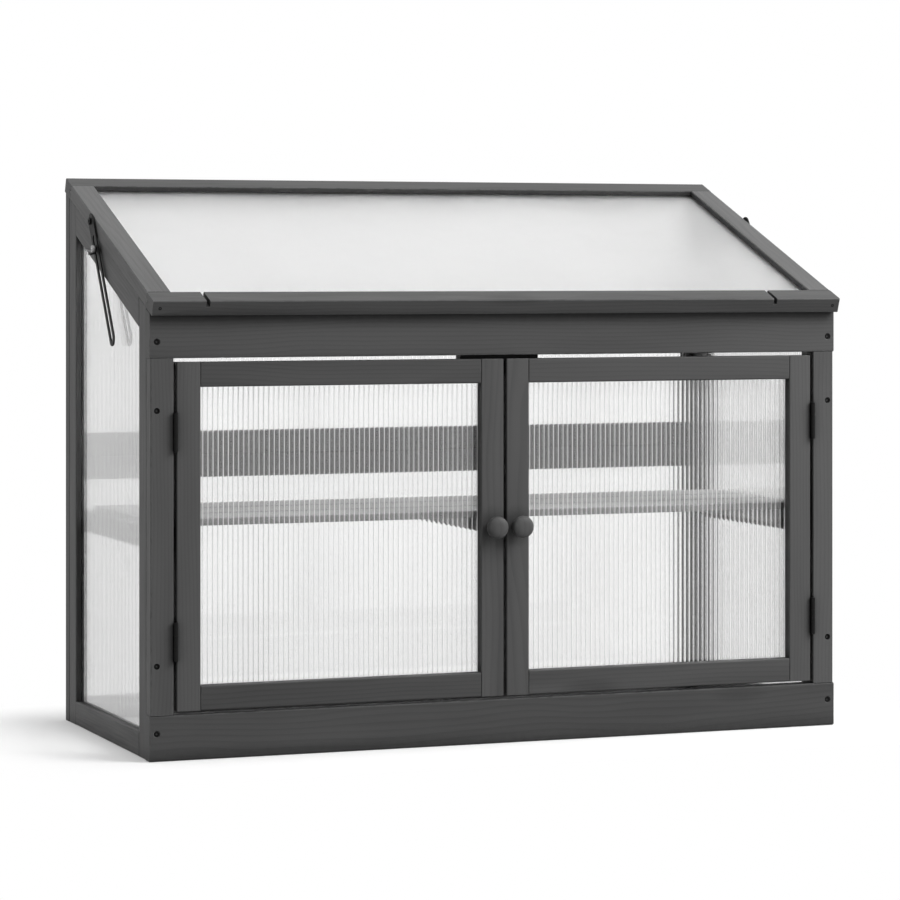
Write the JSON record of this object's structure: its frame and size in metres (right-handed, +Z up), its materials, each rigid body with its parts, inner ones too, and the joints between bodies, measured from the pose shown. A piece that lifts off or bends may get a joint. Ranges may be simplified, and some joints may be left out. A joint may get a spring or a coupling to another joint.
{
  "type": "mini greenhouse",
  "caption": "Low timber greenhouse glazed with twin-wall sheet: sloping hinged lid on stays, framed front doors and a lift-out slatted shelf.",
  "frame": {"origin": "on the floor, under the middle of the whole object", "axes": "+X along the front to the right, +Y to the back, +Z up"},
  "size_m": [1.0322, 0.4724, 0.7723],
  "materials": {
    "painted_timber": "matt dark grey paint over planed softwood",
    "twin_wall_sheet": "satin translucent twin-wall sheet",
    "black_steel": "satin black",
    "knob_wood": "matt dark grey paint over turned wood",
    "zinc_steel": "bright zinc plate"
  },
  "bodies": {
    "case": {"front_top_plank": "painted_timber", "front_bottom_plank": "painted_timber", "left_post": "painted_timber", "right_post": "painted_timber", "left_side_front_stile": "painted_timber", "left_side_rear_stile": "painted_timber", "left_side_bottom_rail": "painted_timber", "left_side_top_rail": "painted_timber", "left_side_sheet": "twin_wall_sheet", "right_side_front_stile": "painted_timber", "right_side_rear_stile": "painted_timber", "right_side_bottom_rail": "painted_timber", "right_side_top_rail": "painted_timber", "right_side_sheet": "twin_wall_sheet", "back_left_stiles": "painted_timber", "back_right_stiles": "painted_timber", "back_lower_bottom_rail": "painted_timber", "back_lower_top_rail": "painted_timber", "back_upper_bottom_rail": "painted_timber", "back_upper_top_rail": "painted_timber", "back_lower_sheet": "twin_wall_sheet", "back_upper_sheet": "twin_wall_sheet", "door_stop": "painted_timber", "left_shelf_cleat": "painted_timber", "right_shelf_cleat": "painted_timber", "case_hinge_leaves": "black_steel", "stay_bolts": "zinc_steel"},
    "lid": {"lid_front_rail": "painted_timber", "lid_rear_rail": "painted_timber", "lid_left_rail": "painted_timber", "lid_right_rail": "painted_timber", "lid_sheet": "twin_wall_sheet", "lid_hinge_leaves": "black_steel", "stay_pivot_screws": "zinc_steel"},
    "left_door": {"left_door_hinge_stile": "painted_timber", "left_door_meeting_stile": "painted_timber", "left_door_top_rail": "painted_timber", "left_door_bottom_rail": "painted_timber", "left_door_sheet": "twin_wall_sheet", "left_door_knob": "knob_wood", "left_door_hinge_leaves": "black_steel"},
    "right_door": {"right_door_hinge_stile": "painted_timber", "right_door_meeting_stile": "painted_timber", "right_door_top_rail": "painted_timber", "right_door_bottom_rail": "painted_timber", "right_door_sheet": "twin_wall_sheet", "right_door_knob": "knob_wood", "right_door_hinge_leaves": "black_steel"},
    "left_stay": {"left_stay_bar": "black_steel"},
    "left_stud": {"left_stay_stud": "zinc_steel"},
    "left_wing_nut": {"left_wing_nut": "zinc_steel"},
    "right_stay": {"right_stay_bar": "black_steel"},
    "right_stud": {"right_stay_stud": "zinc_steel"},
    "right_wing_nut": {"right_wing_nut": "zinc_steel"},
    "shelf": {"shelf_slats": "painted_timber", "shelf_battens": "painted_timber"}
  },
  "joints": [
    {"name": "left_door_open", "type": "hinge", "parent": "case", "child": "left_door", "pos_m": [-0.4652, -0.2136, 0.26325], "axis": [0, 0, -1], "range_deg": [0, 170]},
    {"name": "right_door_open", "type": "hinge", "parent": "case", "child": "right_door", "pos_m": [0.4652, -0.2136, 0.26325], "axis": [0, 0, 1], "range_deg": [0, 170]},
    {"name": "lid_open", "type": "hinge", "parent": "case", "child": "lid", "pos_m": [0, 0.2332, 0.75307], "axis": [-1, 0, 0], "range_deg": [0, 52]},
    {"name": "shelf_lift", "type": "slide", "parent": "case", "child": "shelf", "axis": [0, 0, 1], "range_m": [0, 0.12]},
    {"name": "left_stay_turn", "type": "hinge", "parent": "lid", "child": "left_stay", "pos_m": [-0.502, 0.0763, 0.70925], "axis": [1, 0, 0], "range_deg": [0, 70.16]},
    {"name": "left_stud_slide", "type": "slide", "parent": "left_stay", "child": "left_stud", "axis": [0, -0.568, -0.8231], "range_m": [0, 0.13967]},
    {"name": "left_wing_nut_turn", "type": "hinge", "parent": "left_stud", "child": "left_wing_nut", "pos_m": [-0.502, 0.0488, 0.6694], "axis": [-1, 0, 0], "continuous": true},
    {"name": "right_stay_turn", "type": "hinge", "parent": "lid", "child": "right_stay", "pos_m": [0.502, 0.0763, 0.70925], "axis": [1, 0, 0], "range_deg": [0, 70.16]},
    {"name": "right_stud_slide", "type": "slide", "parent": "right_stay", "child": "right_stud", "axis": [0, -0.568, -0.8231], "range_m": [0, 0.13967]},
    {"name": "right_wing_nut_turn", "type": "hinge", "parent": "right_stud", "child": "right_wing_nut", "pos_m": [0.502, 0.0488, 0.6694], "axis": [1, 0, 0], "continuous": true}
  ],
  "couplings": [
    {"joint": "left_stay_turn", "follows": "lid_open", "ratio": 1.349},
    {"joint": "left_stud_slide", "follows": "lid_open", "m_per_rad": 0.15384},
    {"joint": "right_stay_turn", "follows": "lid_open", "ratio": 1.349},
    {"joint": "right_stud_slide", "follows": "lid_open", "m_per_rad": 0.15384}
  ]
}
